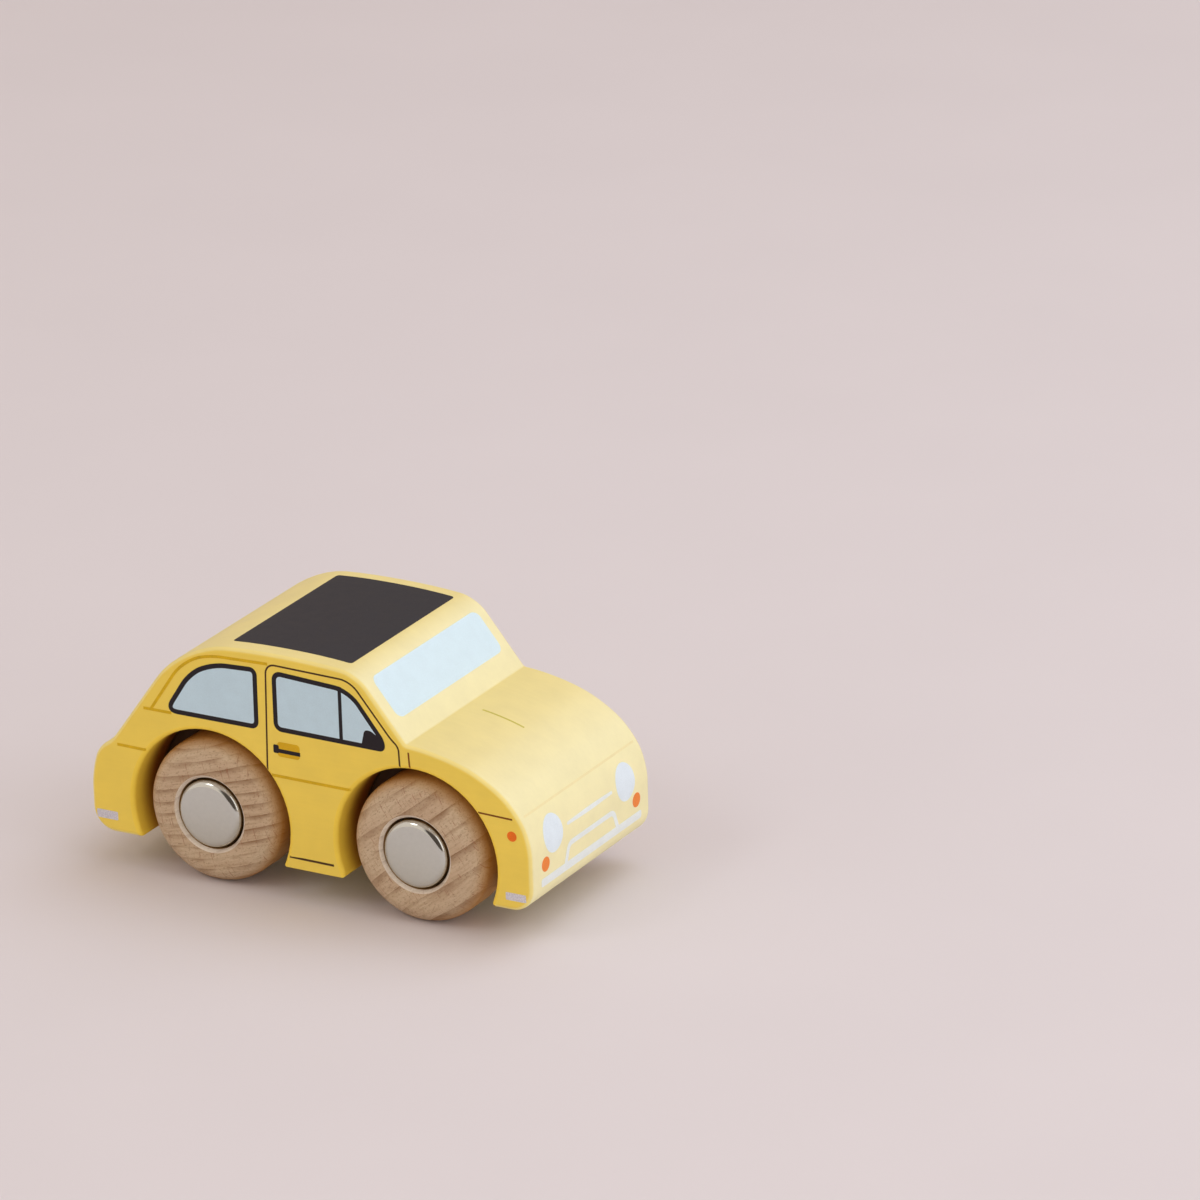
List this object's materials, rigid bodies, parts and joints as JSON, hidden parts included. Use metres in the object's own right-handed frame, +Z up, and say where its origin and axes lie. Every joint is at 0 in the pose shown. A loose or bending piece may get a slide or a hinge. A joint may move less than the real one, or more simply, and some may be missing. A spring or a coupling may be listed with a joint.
{
  "type": "wooden toy car",
  "caption": "Small push-along toy car: a painted beech block with rounded wheel pockets rolling on turned beech wheels, steel axles and capped push-on hub fasteners.",
  "frame": {"origin": "on the floor under the middle of the car's length and width", "axes": "+X forward along the car, +Y to the car's left along the axles, +Z up"},
  "size_m": [0.101, 0.0494, 0.0516],
  "materials": {
    "painted_beech": "satin yellow water-based paint on beech, with printed windows and lines",
    "bare_beech": "turned beech, fine sanded, uncoated",
    "axle_steel": "drawn bright steel rod",
    "cap_nickel": "pressed steel, bright nickel plate",
    "spring_steel": "hardened spring steel"
  },
  "bodies": {
    "car_body": {"body_block": "painted_beech"},
    "front_axle_set": {"front_axle": "axle_steel", "front_left_hub_cap": "cap_nickel", "front_right_hub_cap": "cap_nickel", "front_left_push_washer": "spring_steel", "front_right_push_washer": "spring_steel"},
    "rear_axle_set": {"rear_axle": "axle_steel", "rear_left_hub_cap": "cap_nickel", "rear_right_hub_cap": "cap_nickel", "rear_left_push_washer": "spring_steel", "rear_right_push_washer": "spring_steel"},
    "front_left_wheel": {"front_left_wheel": "bare_beech"},
    "front_right_wheel": {"front_right_wheel": "bare_beech"},
    "rear_left_wheel": {"rear_left_wheel": "bare_beech"},
    "rear_right_wheel": {"rear_right_wheel": "bare_beech"}
  },
  "joints": [
    {"name": "front_axle_turn", "type": "hinge", "parent": "car_body", "child": "front_axle_set", "pos_m": [0.0245, 0, 0.015], "axis": [0, 1, 0], "continuous": true},
    {"name": "rear_axle_turn", "type": "hinge", "parent": "car_body", "child": "rear_axle_set", "pos_m": [-0.0225, 0, 0.015], "axis": [0, 1, 0], "continuous": true},
    {"name": "front_left_wheel_turn", "type": "hinge", "parent": "front_axle_set", "child": "front_left_wheel", "pos_m": [0.0245, 0.018, 0.015], "axis": [0, 1, 0], "continuous": true},
    {"name": "front_right_wheel_turn", "type": "hinge", "parent": "front_axle_set", "child": "front_right_wheel", "pos_m": [0.0245, -0.018, 0.015], "axis": [0, 1, 0], "continuous": true},
    {"name": "rear_left_wheel_turn", "type": "hinge", "parent": "rear_axle_set", "child": "rear_left_wheel", "pos_m": [-0.0225, 0.018, 0.015], "axis": [0, 1, 0], "continuous": true},
    {"name": "rear_right_wheel_turn", "type": "hinge", "parent": "rear_axle_set", "child": "rear_right_wheel", "pos_m": [-0.0225, -0.018, 0.015], "axis": [0, 1, 0], "continuous": true}
  ]
}
